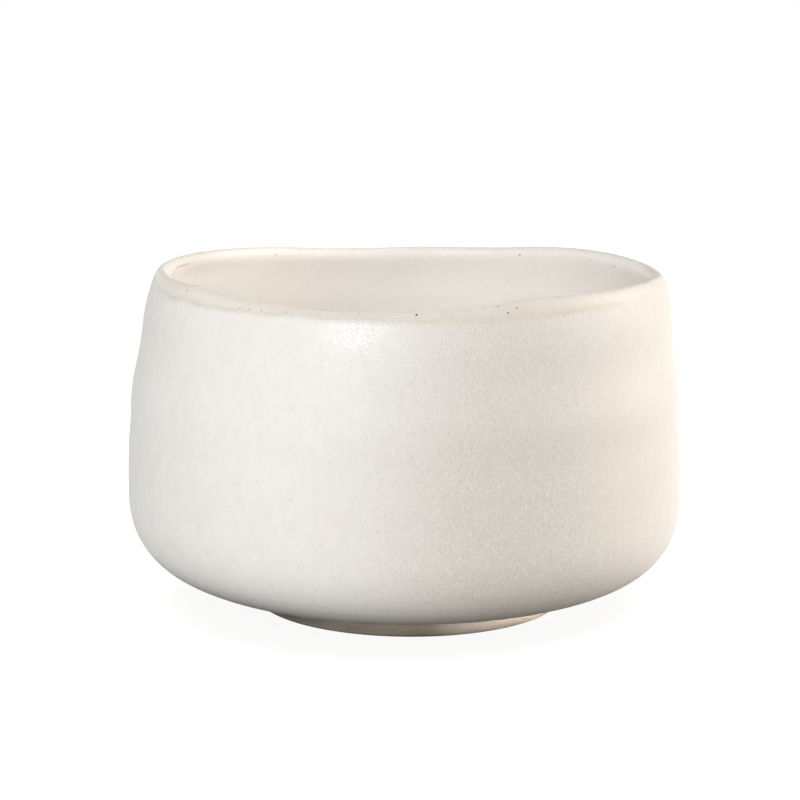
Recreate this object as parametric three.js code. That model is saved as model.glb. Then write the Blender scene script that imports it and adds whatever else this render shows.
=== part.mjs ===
// A hand-thrown stoneware tea bowl: a clay body luted to a foot ring, cream glaze inside and over the lip,
// white glaze outside. Millimetres, +Z up. The foot stands on z = 0 and the belly is centred on the Z axis.
import * as THREE from 'three';

// Outside of the bowl, measured over the glaze.
const BOWL_HEIGHT = 72.1; // mean height of the lip's crest
const BELLY_RADIUS = 60; // the widest ring of the wall
const BELLY_HEIGHT = 24.6; // height of that ring
const RIM_DRAW_IN = 5.25; // how far the wall leans in between the belly and the rim
const HEEL_FULLNESS = 2.47; // power of the heel's curve, where 2 is an ellipse and more is squarer

// Clay of the body.
const WALL_THICKNESS = 3.6; // at the belly
const LIP_THICKNESS = 2.6; // at the rim
const LIP_CREST_INSET = 1; // from the outside of the wall to the crest of the lip
const LIP_BAND = 2.2; // height of the rounded outside of the lip
const LIP_INNER_DROP = 3; // how far the rounding runs down the inside of the lip
const FLOOR_THICKNESS = 6;
const FLOOR_FLAT_RADIUS = 20; // flat middle of the floor
const INSIDE_FULLNESS = 2.7; // power of the curve from the floor to the inside wall

// Foot ring and the slip that lutes it to the body.
const FOOT_HEIGHT = 5.15; // from the table to the glazed underside
const FOOT_RADIUS = 33.2; // outside of the face that stands on the table
const FOOT_WIDTH = 5.5; // width of that face
const FOOT_ROOT_WIDTH = 8; // width of the ring where it joins the body
const FOOT_BEVEL = 0.6; // bevel round the ring's lower outside edge
const SLIP_THICKNESS = 0.5;
const SLIP_INSET = 0.4; // the joint stays this far inside both faces of the ring

// Glaze coats.
const OUTER_GLAZE = 0.45;
const INNER_GLAZE = 0.35;
const GLAZE_SEAM = 0.3; // hairline of bare clay between the two coats, below the lip
const WIPED_MARGIN = 0.5; // clay wiped bare between the foot ring and the outer glaze

// Marks of the hand: the axis bows to +X at the foot and the rim, the wall keeps its throwing rings,
// and the rim rises and falls round the bowl.
const BOW = 1.1; // how far the axis stands aside at the table
const BOW_HEIGHT = 34.9; // height where it stands true
const RING_DEPTH = 0.21;
const RING_LEVEL = 46.7; // height of one ring's crest
const RING_PITCH = 18.4;
const RING_START = 32.8; // the rings begin here
const RING_FULL = 48.8; // and have their whole depth from here
const RING_FADE = 6; // they fade out over this height below the rim
const RIM_WAVES = [
  { perTurn: 2, height: 0.93, towards: -8 },
  { perTurn: 3, height: 0.55, towards: 59 },
  { perTurn: 4, height: 0.47, towards: 41 },
]; // each wave's count, height and the direction of one of its crests in degrees from +X

// Finishes as fired.
const BODY_CLAY = { color: '#cdbfa9', roughness: 0.9 };
const FOOT_CLAY = { color: '#c9bba5', roughness: 0.9 };
const SLIP_CLAY = { color: '#bfb09a', roughness: 0.9 };
const CREAM_GLAZE = { color: '#efeae0', roughness: 0.45 };
const WHITE_GLAZE = { color: '#eeebe4', roughness: 0.55 };

// Fineness of the facets.
const TURN_FACETS = 40;
const HEEL_STEPS = 8;
const WALL_STEPS = 8;
const LIP_STEPS = 3;

// Levels and radii that follow from the sizes above.
const seatHeight = FOOT_HEIGHT + OUTER_GLAZE;
const ringTop = seatHeight - SLIP_THICKNESS;
const floorHeight = seatHeight + FLOOR_THICKNESS;
const clayTop = BOWL_HEIGHT - INNER_GLAZE;
const lipStart = clayTop - LIP_BAND;
const footSide = FOOT_RADIUS + FOOT_BEVEL;
const footInside = footSide - FOOT_ROOT_WIDTH;
const glazeEdge = footSide + WIPED_MARGIN;
const clayBelly = BELLY_RADIUS - OUTER_GLAZE;
const insideBelly = clayBelly - WALL_THICKNESS;
const crestRadius = clayBelly - RIM_DRAW_IN - LIP_CREST_INSET;

const { lerp, smoothstep, degToRad } = THREE.MathUtils;
const point = (radius, height) => new THREE.Vector2(radius, height);

// Values of make(share) for shares from one end to the other, both ends included.
function steps(count, make) {
  return Array.from({ length: count + 1 }, (_, step) => make(step / count));
}

// How far a height lies between the belly, 0, and the rim, 1.
function climb(height) {
  return (height - BELLY_HEIGHT) / (clayTop - BELLY_HEIGHT);
}

// Outside radius of the bare clay wall.
function wallRadius(height) {
  return clayBelly - RIM_DRAW_IN * climb(height) ** 2;
}

// Inside radius of the bare clay wall, which thins towards the rim.
function insideRadius(height) {
  return wallRadius(height) - lerp(WALL_THICKNESS, LIP_THICKNESS, climb(height));
}

// A quarter of a superellipse from its lowest point, share 0, to its side at the belly's height, share 1.
function quarterRound(share, flatRadius, sideRadius, lowest, fullness) {
  const angle = (1 - share) * Math.PI / 2;
  const out = Math.cos(angle) ** (2 / fullness);
  const down = Math.sin(angle) ** (2 / fullness);
  return point(lerp(flatRadius, sideRadius, out), lerp(BELLY_HEIGHT, lowest, down));
}

// Outside of the body under a coat of the given thickness, from the edge by the foot up to the glaze seam.
function outsideSection(coat) {
  const heel = steps(HEEL_STEPS, (share) => (
    quarterRound(share, glazeEdge, clayBelly + coat, seatHeight - coat, HEEL_FULLNESS)));
  const wall = steps(WALL_STEPS, (share) => {
    const height = lerp(BELLY_HEIGHT, lipStart - GLAZE_SEAM, share);
    return point(wallRadius(height) + coat, height);
  });
  return [...heel, ...wall.slice(1)];
}

// Lip and inside of the body under a coat, from the glaze seam over the crest and down to the floor's middle.
function insideSection(coat) {
  const lipOutside = steps(LIP_STEPS, (share) => {
    const angle = share * Math.PI / 2;
    const height = lipStart + (LIP_BAND + coat) * Math.sin(angle);
    return point(lerp(crestRadius, wallRadius(height) + coat, Math.cos(angle)), height);
  });
  const lipInside = steps(LIP_STEPS, (share) => {
    const angle = (1 - share) * Math.PI / 2;
    const height = clayTop - LIP_INNER_DROP + (LIP_INNER_DROP + coat) * Math.sin(angle);
    return point(lerp(crestRadius, insideRadius(height) - coat, Math.cos(angle)), height);
  });
  const wall = steps(WALL_STEPS, (share) => {
    const height = lerp(clayTop - LIP_INNER_DROP, BELLY_HEIGHT, share);
    return point(insideRadius(height) - coat, height);
  });
  const bottom = steps(HEEL_STEPS, (share) => (
    quarterRound(1 - share, FLOOR_FLAT_RADIUS, insideBelly - coat, floorHeight + coat, INSIDE_FULLNESS)));
  const middle = point(0, floorHeight + coat);
  return [...lipOutside, ...lipInside.slice(1), ...wall.slice(1), ...bottom.slice(1), middle];
}

// Depth of the throwing rings at a height, outwards positive.
function throwingRing(height) {
  const wave = Math.cos(2 * Math.PI * (height - RING_LEVEL) / RING_PITCH);
  const begun = smoothstep(height, RING_START, RING_FULL);
  const faded = smoothstep(height, BOWL_HEIGHT - RING_FADE, BOWL_HEIGHT);
  return RING_DEPTH * wave * begun * (1 - faded);
}

// Rise of the rim in a direction round the bowl.
function rimRise(angle) {
  return RIM_WAVES.reduce((rise, wave) => (
    rise + wave.height * Math.cos(wave.perTurn * (angle - degToRad(wave.towards)))), 0);
}

// Moves a point of the true turned form to where the potter's hand left it.
function settle(place) {
  const angle = Math.atan2(place.y, place.x);
  const radius = Math.hypot(place.x, place.y) + throwingRing(place.z);
  const aside = BOW * (place.z / BOW_HEIGHT - 1) ** 2;
  const lift = Math.max(0, climb(place.z)) ** 2;
  return place.set(
    radius * Math.cos(angle) + aside,
    radius * Math.sin(angle),
    place.z + lift * rimRise(angle),
  );
}

// A solid turned from a section that runs with its material on the left, from axis to axis or round a loop.
// Each quad is split the same way whichever way its section runs, so pieces that touch share their facets.
function turned(section) {
  const geometry = new THREE.LatheGeometry(section, TURN_FACETS).rotateX(Math.PI / 2);
  const rows = section.length;
  const triangles = [];
  for (let turn = 0; turn < TURN_FACETS; turn += 1) {
    for (let row = 0; row + 1 < rows; row += 1) {
      const [start, end] = [section[row], section[row + 1]];
      const here = turn * rows + row;
      const beside = ((turn + 1) % TURN_FACETS) * rows + row;
      const rising = end.y > start.y || (end.y === start.y && end.x > start.x);
      const nearHalf = [here, beside, rising ? here + 1 : beside + 1];
      const farHalf = [beside + 1, here + 1, rising ? beside : here];
      triangles.push(...(start.x > 0 ? nearHalf : []), ...(end.x > 0 ? farHalf : []));
    }
  }
  geometry.setIndex(triangles);
  const places = geometry.getAttribute('position');
  const place = new THREE.Vector3();
  for (let corner = 0; corner < places.count; corner += 1) {
    settle(place.fromBufferAttribute(places, corner));
    places.setXYZ(corner, place.x, place.y, place.z);
  }
  geometry.computeVertexNormals();
  return geometry;
}

function closedLoop(section) {
  return [...section, section[0]];
}

// Section of a coat: its own face, then the clay's face under it run backwards.
function coatSection(face, clayFace) {
  return closedLoop([...face, ...clayFace.toReversed()]);
}

function piece(name, section, finish) {
  const material = new THREE.MeshStandardMaterial({ ...finish, metalness: 0 });
  const mesh = new THREE.Mesh(turned(section), material);
  mesh.name = name;
  return mesh;
}

// The thrown body, from the middle of its underside round to the middle of its floor.
function clayBody() {
  const section = [point(0, seatHeight), ...outsideSection(0), ...insideSection(0)];
  return piece('clay_body', section, BODY_CLAY);
}

// The ring is wider at its root than where it stands, and bevelled round its lower outside edge.
function footRing() {
  const section = closedLoop([
    point(FOOT_RADIUS, 0),
    point(footSide, FOOT_BEVEL),
    point(footSide, ringTop),
    point(footInside, ringTop),
    point(FOOT_RADIUS - FOOT_WIDTH, 0),
  ]);
  return piece('foot_ring', section, FOOT_CLAY);
}

// Thin bed of slip between the flat top of the foot ring and the flat underside of the body.
function footSlip() {
  const [inside, outside] = [footInside + SLIP_INSET, footSide - SLIP_INSET];
  const section = closedLoop([
    point(outside, ringTop),
    point(outside, seatHeight),
    point(inside, seatHeight),
    point(inside, ringTop),
  ]);
  return piece('foot_slip', section, SLIP_CLAY);
}

// Cream coat over the lip and the whole inside.
function innerGlaze() {
  const section = coatSection(insideSection(INNER_GLAZE), insideSection(0));
  return piece('inner_glaze', section, CREAM_GLAZE);
}

// White coat from the seam below the lip to the wiped margin round the foot.
function outerGlaze() {
  const section = coatSection(outsideSection(OUTER_GLAZE), outsideSection(0));
  return piece('outer_glaze', section, WHITE_GLAZE);
}

const bowl = new THREE.Group();
bowl.add(clayBody(), footRing(), footSlip(), innerGlaze(), outerGlaze());

export default bowl;
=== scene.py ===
"""Dresses a hand-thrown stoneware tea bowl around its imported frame.

The bowl is a thrown clay body on a foot ring, with a cream glaze inside and over the lip and a white satin
glaze outside. Every skin is a section turned round the axis and then moved to where the potter's hand left
it. Lengths are in metres, +Z is up, and the camera stands at -Y. Values that name a direction round the axis
are in degrees from +X, and arrays of directions are in radians.
"""

import logging
import math
from dataclasses import dataclass
from enum import Enum
from typing import Any, Mapping, Sequence, Union

import bpy
import numpy as np
from mathutils import Euler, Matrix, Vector


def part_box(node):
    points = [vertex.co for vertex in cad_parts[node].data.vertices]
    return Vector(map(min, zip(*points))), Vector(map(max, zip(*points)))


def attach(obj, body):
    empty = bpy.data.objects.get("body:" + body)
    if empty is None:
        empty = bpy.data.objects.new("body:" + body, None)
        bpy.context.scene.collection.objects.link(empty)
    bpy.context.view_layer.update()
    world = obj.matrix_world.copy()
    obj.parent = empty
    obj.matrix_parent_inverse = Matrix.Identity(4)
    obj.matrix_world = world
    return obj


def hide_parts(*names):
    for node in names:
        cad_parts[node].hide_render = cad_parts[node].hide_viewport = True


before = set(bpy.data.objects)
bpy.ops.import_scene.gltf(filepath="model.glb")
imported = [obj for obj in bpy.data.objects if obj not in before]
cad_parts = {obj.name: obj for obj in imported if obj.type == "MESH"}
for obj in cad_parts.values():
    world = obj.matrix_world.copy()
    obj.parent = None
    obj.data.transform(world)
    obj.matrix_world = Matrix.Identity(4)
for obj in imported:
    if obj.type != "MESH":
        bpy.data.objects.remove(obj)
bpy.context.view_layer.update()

log = logging.getLogger("tea_bowl")

MM = 0.001
TAU = 2.0 * math.pi
FOOT_MIDDLE = (1.1 * MM, 0.0, 2.4 * MM)
SHARP_ANGLE = 50.0
LEAST_STEP = 1e-12
MEETING_WIDTH = 1e-9
SPECK_SOFTNESS = 0.35

Colour = tuple[float, float, float, float]
Band = tuple[float, float]
Run = tuple[np.ndarray, np.ndarray]

WHITE: Colour = (1.0, 1.0, 1.0, 1.0)


class Slot(Enum):
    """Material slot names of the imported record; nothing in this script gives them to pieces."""

    BODY_CLAY = "body_clay"
    FOOT_CLAY = "foot_clay"
    CREAM_GLAZE = "cream_glaze"
    WHITE_GLAZE = "white_glaze"


def paint(red: int, green: int, blue: int) -> Colour:
    """Turns a colour as seen on a screen, 0 to 255, into linear light.

    Args:
        red: Red, 0 to 255.
        green: Green, 0 to 255.
        blue: Blue, 0 to 255.

    Returns:
        The colour in linear light with full alpha.
    """
    shares = np.array([red, green, blue]) / 255.0
    light = np.where(shares <= 0.04045, shares / 12.92, ((shares + 0.055) / 1.055) ** 2.4)
    return (float(light[0]), float(light[1]), float(light[2]), 1.0)


def ease(low: float, high: float, value: np.ndarray) -> np.ndarray:
    """Rises from 0 at low to 1 at high along the smooth cubic 3t^2 - 2t^3."""
    share = np.clip((value - low) / (high - low), 0.0, 1.0)
    return share * share * (3.0 - 2.0 * share)


def blend(start: Any, end: Any, share: Any) -> Any:
    """Goes straight from start to end as share goes from 0 to 1."""
    return start + (end - start) * share


def bell(distance: np.ndarray, spread: float) -> np.ndarray:
    """A bell curve of height 1 that falls to a third at the spread."""
    return np.exp(-((distance / spread) ** 2))


def turn_apart(angle: np.ndarray, towards: float) -> np.ndarray:
    """Angle in radians between directions and one given in degrees, at most half a turn."""
    return (angle - math.radians(towards) + math.pi) % TAU - math.pi


@dataclass(frozen=True)
class RimWave:
    """One even wave of the rim's height round the bowl, with a crest towards one direction."""

    per_turn: int
    height: float
    towards: float

    def over(self, angle: np.ndarray) -> np.ndarray:
        """Its height over the directions round the axis."""
        return self.height * np.cos(self.per_turn * (angle - math.radians(self.towards)))


@dataclass(frozen=True)
class EdgeWave:
    """One small wave of the white glaze's upper edge, with its phase in radians."""

    per_turn: float
    height: float
    phase: float

    def over(self, angle: np.ndarray) -> np.ndarray:
        """Its height over the directions round the axis."""
        return self.height * np.cos(self.per_turn * angle + self.phase)


@dataclass(frozen=True)
class Stretch:
    """A bell curve over the directions: a rise or dip of an edge, or the share of a finish.

    It is highest towards one direction and falls to a third at its spread, both in degrees.
    """

    towards: float
    height: float
    spread: float

    def over(self, angle: np.ndarray) -> np.ndarray:
        """Its values over the directions round the axis."""
        return self.height * bell(turn_apart(angle, self.towards), math.radians(self.spread))


@dataclass(frozen=True)
class HandWaver:
    """Slow unevenness over a turned skin, as a sum of cosines with seeded directions and phases."""

    seed: int
    terms: int
    most_per_turn: int
    pitch: float

    def over(self, angle: np.ndarray, along: np.ndarray) -> np.ndarray:
        """Adds cos(n angle + w along + phase) over the terms, n up to most_per_turn and w near 1/pitch.

        Args:
            angle: Directions round the axis in radians.
            along: Lengths along the section, which broadcast with the angles.

        Returns:
            Values that mostly lie between -1 and 1.
        """
        draw = np.random.default_rng(self.seed)
        shape = (self.terms, 1, 1)
        per_turn = draw.integers(0, self.most_per_turn + 1, self.terms).reshape(shape)
        climbing = draw.normal(0.0, TAU / self.pitch, self.terms).reshape(shape)
        phase = draw.uniform(0.0, TAU, self.terms).reshape(shape)
        waves = np.cos(per_turn * angle + climbing * along + phase)
        return waves.sum(axis=0) / math.sqrt(2.0 * self.terms)


@dataclass(frozen=True)
class ThrownForm:
    """The bowl's true turned form, and how the hand moved it.

    A point of the true form has a radius, a height and an angle round the axis, 0 towards +X. Sections run
    with their material on the left: out from the underside, up the outside, over the lip and down inside.
    """

    belly_radius: float
    seat_height: float
    floor_height: float
    foot_side: float
    outer_glaze: float
    inner_glaze: float = 0.35 * MM
    bowl_height: float = 72.1 * MM
    belly_height: float = 24.6 * MM
    rim_draw_in: float = 5.25 * MM
    heel_fullness: float = 2.47
    wall_thickness: float = 3.6 * MM
    lip_thickness: float = 2.6 * MM
    lip_crest_inset: float = 1.0 * MM
    lip_band: float = 2.2 * MM
    lip_inner_drop: float = 3.0 * MM
    floor_flat_radius: float = 20.0 * MM
    inside_fullness: float = 2.7
    wiped_margin: float = 0.5 * MM
    bow: float = 1.1 * MM
    bow_height: float = 34.9 * MM
    ring_depth: float = 0.21 * MM
    ring_level: float = 46.7 * MM
    ring_pitch: float = 18.4 * MM
    ring_start: float = 32.8 * MM
    ring_full: float = 48.8 * MM
    ring_fade: float = 6.0 * MM
    glaze_break: float = 2.5 * MM
    glaze_rises: Sequence[Stretch] = (
        Stretch(255.0, 1.85 * MM, 26.0),
        Stretch(187.0, 1.30 * MM, 13.0),
        Stretch(347.0, 1.50 * MM, 20.0),
    )
    edge_waves: Sequence[EdgeWave] = (
        EdgeWave(9.0, 0.12 * MM, 0.7),
        EdgeWave(23.0, 0.07 * MM, 2.1),
        EdgeWave(51.0, 0.03 * MM, 0.0),
        EdgeWave(87.0, 0.03 * MM, 1.0),
    )
    seam_from: float = 190.0
    seam_to: float = 325.0
    seam_fade: float = 20.0
    glaze_lap: float = 0.02 * MM
    glaze_tuck: float = 0.35 * MM
    rim_waves: Sequence[RimWave] = (
        RimWave(2, 0.93 * MM, -8.0),
        RimWave(3, 0.55 * MM, 59.0),
        RimWave(4, 0.47 * MM, 41.0),
    )
    rim_touches: Sequence[Stretch] = (
        Stretch(217.0, 0.50 * MM, 5.0),
        Stretch(294.0, 0.38 * MM, 5.0),
        Stretch(317.0, -0.34 * MM, 9.0),
        Stretch(343.0, 0.45 * MM, 7.0),
        Stretch(200.0, -0.30 * MM, 6.0),
        Stretch(88.0, 0.28 * MM, 9.0),
        Stretch(113.0, -0.22 * MM, 8.0),
        Stretch(65.0, -0.20 * MM, 8.0),
    )
    wave_power: int = 2
    touch_power: int = 10

    @classmethod
    def from_frame(cls) -> "ThrownForm":
        """Takes the form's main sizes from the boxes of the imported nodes.

        Returns:
            The form.
        """
        glaze_low, glaze_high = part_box("outer_glaze")
        clay_low, clay_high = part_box("clay_body")
        coat_low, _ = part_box("inner_glaze")
        foot_low, foot_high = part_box("foot_ring")
        return cls(
            belly_radius=(glaze_high.y - glaze_low.y) / 2.0,
            seat_height=clay_low.z,
            floor_height=coat_low.z,
            foot_side=(foot_high.y - foot_low.y) / 2.0,
            outer_glaze=(glaze_high.y - glaze_low.y - clay_high.y + clay_low.y) / 2.0,
        )

    @property
    def clay_top(self) -> float:
        """Mean height of the bare clay lip."""
        return self.bowl_height - self.inner_glaze

    @property
    def lip_start(self) -> float:
        """Height where the rounding of the lip's outside begins."""
        return self.clay_top - self.lip_band

    @property
    def clay_belly(self) -> float:
        """Outside radius of the bare clay at the belly."""
        return self.belly_radius - self.outer_glaze

    @property
    def crest_radius(self) -> float:
        """Radius of the lip's crest."""
        return self.clay_belly - self.rim_draw_in - self.lip_crest_inset

    @property
    def glaze_edge(self) -> float:
        """Radius where the outer glaze ends beside the foot."""
        return self.foot_side + self.wiped_margin

    def climb(self, height: np.ndarray) -> np.ndarray:
        """How far a height lies between the belly, 0, and the rim, 1."""
        return (height - self.belly_height) / (self.clay_top - self.belly_height)

    def wall(self, height: np.ndarray) -> np.ndarray:
        """Outside radius of the clay wall, drawn in by the square of the climb."""
        return self.clay_belly - self.rim_draw_in * self.climb(height) ** 2

    def inside_wall(self, height: np.ndarray) -> np.ndarray:
        """Inside radius of the clay wall, which thins evenly towards the rim."""
        return self.wall(height) - blend(self.wall_thickness, self.lip_thickness, self.climb(height))

    def outside(self, height: np.ndarray) -> np.ndarray:
        """Outside radius of wall and lip: above the lip's start it rounds in along a quarter ellipse."""
        sine = np.clip((height - self.lip_start) / self.lip_band, 0.0, 1.0)
        return blend(self.crest_radius, self.wall(height), np.sqrt(1.0 - sine * sine))

    def quarter_round(
        self, share: np.ndarray, flat: float, side: float, lowest: float, fullness: float
    ) -> Run:
        """A quarter of a superellipse from its lowest point, share 0, to its side at the belly, share 1.

        Args:
            share: Shares of the quarter, 0 to 1.
            flat: Radius of its lowest point.
            side: Radius of its side.
            lowest: Height of its lowest point.
            fullness: Power of the curve.

        Returns:
            Radii and heights.
        """
        angle = (1.0 - share) * math.pi / 2.0
        out = np.maximum(np.cos(angle), 0.0) ** (2.0 / fullness)
        down = np.sin(angle) ** (2.0 / fullness)
        return blend(flat, side, out), blend(self.belly_height, lowest, down)

    def heel(self, rows: int) -> Run:
        """The outside of the heel, from the glaze's edge beside the foot up to the belly."""
        share = column(rows)
        return self.quarter_round(
            share, self.glaze_edge, self.clay_belly, self.seat_height, self.heel_fullness
        )

    def lip_outside(self, first: Any, rows: int) -> Run:
        """The outside of the lip: a quarter ellipse up to the crest, which runs on into the wall below it.

        Args:
            first: Angle of the ellipse at the first row, 0 where the rounding starts and negative below.
            rows: Number of rows.

        Returns:
            Radii and heights.
        """
        turn = blend(first, math.pi / 2.0, column(rows))
        height = self.lip_start + self.lip_band * np.sin(turn)
        share = np.where(turn > 0.0, np.cos(turn), 1.0)
        return blend(self.crest_radius, self.wall(height), share), height

    def lip_inside(self, rows: int) -> Run:
        """The inside of the lip: a quarter ellipse from the crest down to the inside wall.

        Args:
            rows: Number of rows.

        Returns:
            Radii and heights.
        """
        turn = (1.0 - column(rows)) * math.pi / 2.0
        height = self.clay_top - self.lip_inner_drop * (1.0 - np.sin(turn))
        return blend(self.crest_radius, self.inside_wall(height), np.cos(turn)), height

    def down_inside(self, rows: int) -> Run:
        """The inside wall, from the lip down to the belly."""
        height = blend(self.clay_top - self.lip_inner_drop, self.belly_height, column(rows))
        return self.inside_wall(height), height

    def bottom(self, rows: int) -> Run:
        """The curve inside from the belly down to the flat of the floor."""
        side = self.clay_belly - self.wall_thickness
        return self.quarter_round(
            1.0 - column(rows), self.floor_flat_radius, side, self.floor_height, self.inside_fullness
        )

    def break_height(self, angle: np.ndarray) -> np.ndarray:
        """Height of the wavering line where the white glaze ends below the lip.

        It lies a set drop below the crest, comes nearer to it over some stretches, and wavers by a sum of
        cosines.

        Args:
            angle: Directions round the axis in radians.

        Returns:
            Heights on the true form.
        """
        near = sum(rise.over(angle) for rise in self.glaze_rises)
        waver = sum(wave.over(angle) for wave in self.edge_waves)
        return self.clay_top - self.glaze_break + near + waver

    def browned(self, angle: np.ndarray) -> np.ndarray:
        """Share of the brown seam below the lip, which fades out at both its ends.

        Args:
            angle: Directions round the axis in radians.

        Returns:
            Shares from 0 to 1.
        """
        turned = np.degrees(angle)
        begun = ease(self.seam_from, self.seam_from + self.seam_fade, turned)
        return begun * ease(self.seam_to, self.seam_to - self.seam_fade, turned)

    def throwing_ring(self, height: np.ndarray) -> np.ndarray:
        """Broad throwing rings: a cosine of the height that begins above the belly and fades at the rim.

        Args:
            height: Heights on the true form.

        Returns:
            Depths, outwards positive.
        """
        wave = np.cos(TAU * (height - self.ring_level) / self.ring_pitch)
        begun = ease(self.ring_start, self.ring_full, height)
        faded = ease(self.bowl_height - self.ring_fade, self.bowl_height, height)
        return self.ring_depth * wave * begun * (1.0 - faded)

    def rim_rise(self, angle: np.ndarray, climb: np.ndarray) -> np.ndarray:
        """Rise of the wall: even waves grow with the square of the climb, touches with its tenth power.

        Args:
            angle: Directions round the axis in radians.
            climb: How far each point lies between belly and rim.

        Returns:
            Rises in metres.
        """
        grown = np.maximum(climb, 0.0)
        waves = sum(wave.over(angle) for wave in self.rim_waves)
        touches = sum(touch.over(angle) for touch in self.rim_touches)
        return waves * grown**self.wave_power + touches * grown**self.touch_power

    def settle(self, radius: np.ndarray, height: np.ndarray, angle: np.ndarray) -> np.ndarray:
        """Moves points of the true form to where the hand left them.

        The throwing rings swell the radius, the axis stands aside by the square of the distance from its
        true height, and the rim's rise lifts the wall.

        Args:
            radius: Radii, rows by turns.
            height: Heights, rows by turns.
            angle: Directions, one row of turns.

        Returns:
            Points, rows by turns by 3.
        """
        swollen = np.where(radius > 0.0, radius + self.throwing_ring(height), 0.0)
        aside = self.bow * (height / self.bow_height - 1.0) ** 2
        lifted = height + self.rim_rise(angle, self.climb(height))
        return np.stack([swollen * np.cos(angle) + aside, swollen * np.sin(angle), lifted], axis=-1)


def directions(turns: int) -> np.ndarray:
    """One row of evenly spaced directions round the axis in radians."""
    return np.linspace(0.0, TAU, turns, endpoint=False).reshape(1, turns)


def column(count: int) -> np.ndarray:
    """A column of shares from 0 to 1."""
    return np.linspace(0.0, 1.0, count).reshape(count, 1)


def end_to_end(runs: Sequence[Run], angle: np.ndarray) -> Run:
    """Joins runs of a section that share their end points, and spreads them over the directions.

    Args:
        runs: Radii and heights of each run, as columns or as rows by turns.
        angle: Directions, one row.

    Returns:
        Radii and heights, rows by turns.
    """
    level = np.ones_like(angle)
    kept = [slice(0, None)] + [slice(1, None)] * (len(runs) - 1)
    radius = np.concatenate([run[0][rows] * level for run, rows in zip(runs, kept)])
    height = np.concatenate([run[1][rows] * level for run, rows in zip(runs, kept)])
    return radius, height


def offset(radius: np.ndarray, height: np.ndarray, coat: np.ndarray) -> Run:
    """Moves a section outwards along its normal, which is its direction turned a quarter to the right.

    Args:
        radius: Radii, rows by turns.
        height: Heights, rows by turns.
        coat: How far each point moves.

    Returns:
        The moved radii and heights.
    """
    across = np.gradient(radius, axis=0)
    up = np.gradient(height, axis=0)
    length = np.maximum(np.hypot(across, up), LEAST_STEP)
    return radius + up / length * coat, height - across / length * coat


def run_length(radius: np.ndarray, height: np.ndarray) -> np.ndarray:
    """Length along each section from its first row, as a running sum of its steps."""
    steps = np.hypot(np.diff(radius, axis=0), np.diff(height, axis=0))
    return np.concatenate([np.zeros_like(radius[:1]), np.cumsum(steps, axis=0)])


def both_faces(marks: np.ndarray, hidden_step: int) -> np.ndarray:
    """Repeats a coat's marks for its hidden face, whose rows run backwards in larger steps."""
    return np.concatenate([marks, marks[::-hidden_step]])


def skin(name: str, rows: np.ndarray, looped: bool, marks: Mapping[str, np.ndarray]) -> bpy.types.Object:
    """Skins rows of points round the axis into a closed mesh.

    Each four neighbours make a face. A row whose points all meet on the axis counts as one point, and the
    faces beside it are triangles.

    Args:
        name: Name of the piece.
        rows: Points, rows by turns by 3.
        looped: Whether the last row joins the first.
        marks: Values to keep on the points, rows by turns, by name.

    Returns:
        The new object, at the origin.
    """
    count, turns = rows.shape[:2]
    number = np.arange(count * turns).reshape(count, turns)
    met = np.ptp(rows, axis=1).max(axis=1) < MEETING_WIDTH
    number = np.where(met[:, None], number[:, :1], number)
    near = number if looped else number[:-1]
    far = np.roll(number, -1, axis=0) if looped else number[1:]
    beside = np.roll(near, -1, axis=1)
    across = np.roll(far, -1, axis=1)
    quads = np.stack([near, beside, across, far], axis=-1).reshape(-1, 4)
    near_point = quads[:, 0] == quads[:, 1]
    far_point = quads[:, 2] == quads[:, 3]
    from_near = quads[near_point & ~far_point][:, [0, 2, 3]]
    from_far = quads[far_point & ~near_point][:, :3]
    triangles = np.concatenate([from_near, from_far])
    quads = quads[~near_point & ~far_point]
    used, order = np.unique(np.concatenate([quads.ravel(), triangles.ravel()]), return_inverse=True)
    points = rows.reshape(-1, 3)[used]
    quads = order[: quads.size].reshape(-1, 4)
    triangles = order[quads.size :].reshape(-1, 3)
    split = np.concatenate([quads[:, [0, 1, 2]], quads[:, [0, 2, 3]], triangles])
    corners = points[split]
    volume = np.einsum("ij,ij->i", corners[:, 0], np.cross(corners[:, 1], corners[:, 2])).sum()
    way = 1 if volume > 0.0 else -1
    mesh = bpy.data.meshes.new(name)
    mesh.from_pydata(points.tolist(), [], quads[:, ::way].tolist() + triangles[:, ::way].tolist())
    for mark, values in marks.items():
        layer = mesh.attributes.new(mark, "FLOAT", "POINT")
        layer.data.foreach_set("value", values.reshape(-1)[used].astype(np.float32))
    mesh.shade_smooth()
    mesh.set_sharp_from_angle(angle=math.radians(SHARP_ANGLE))
    piece = bpy.data.objects.new(name, mesh)
    bpy.context.scene.collection.objects.link(piece)
    return piece


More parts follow.
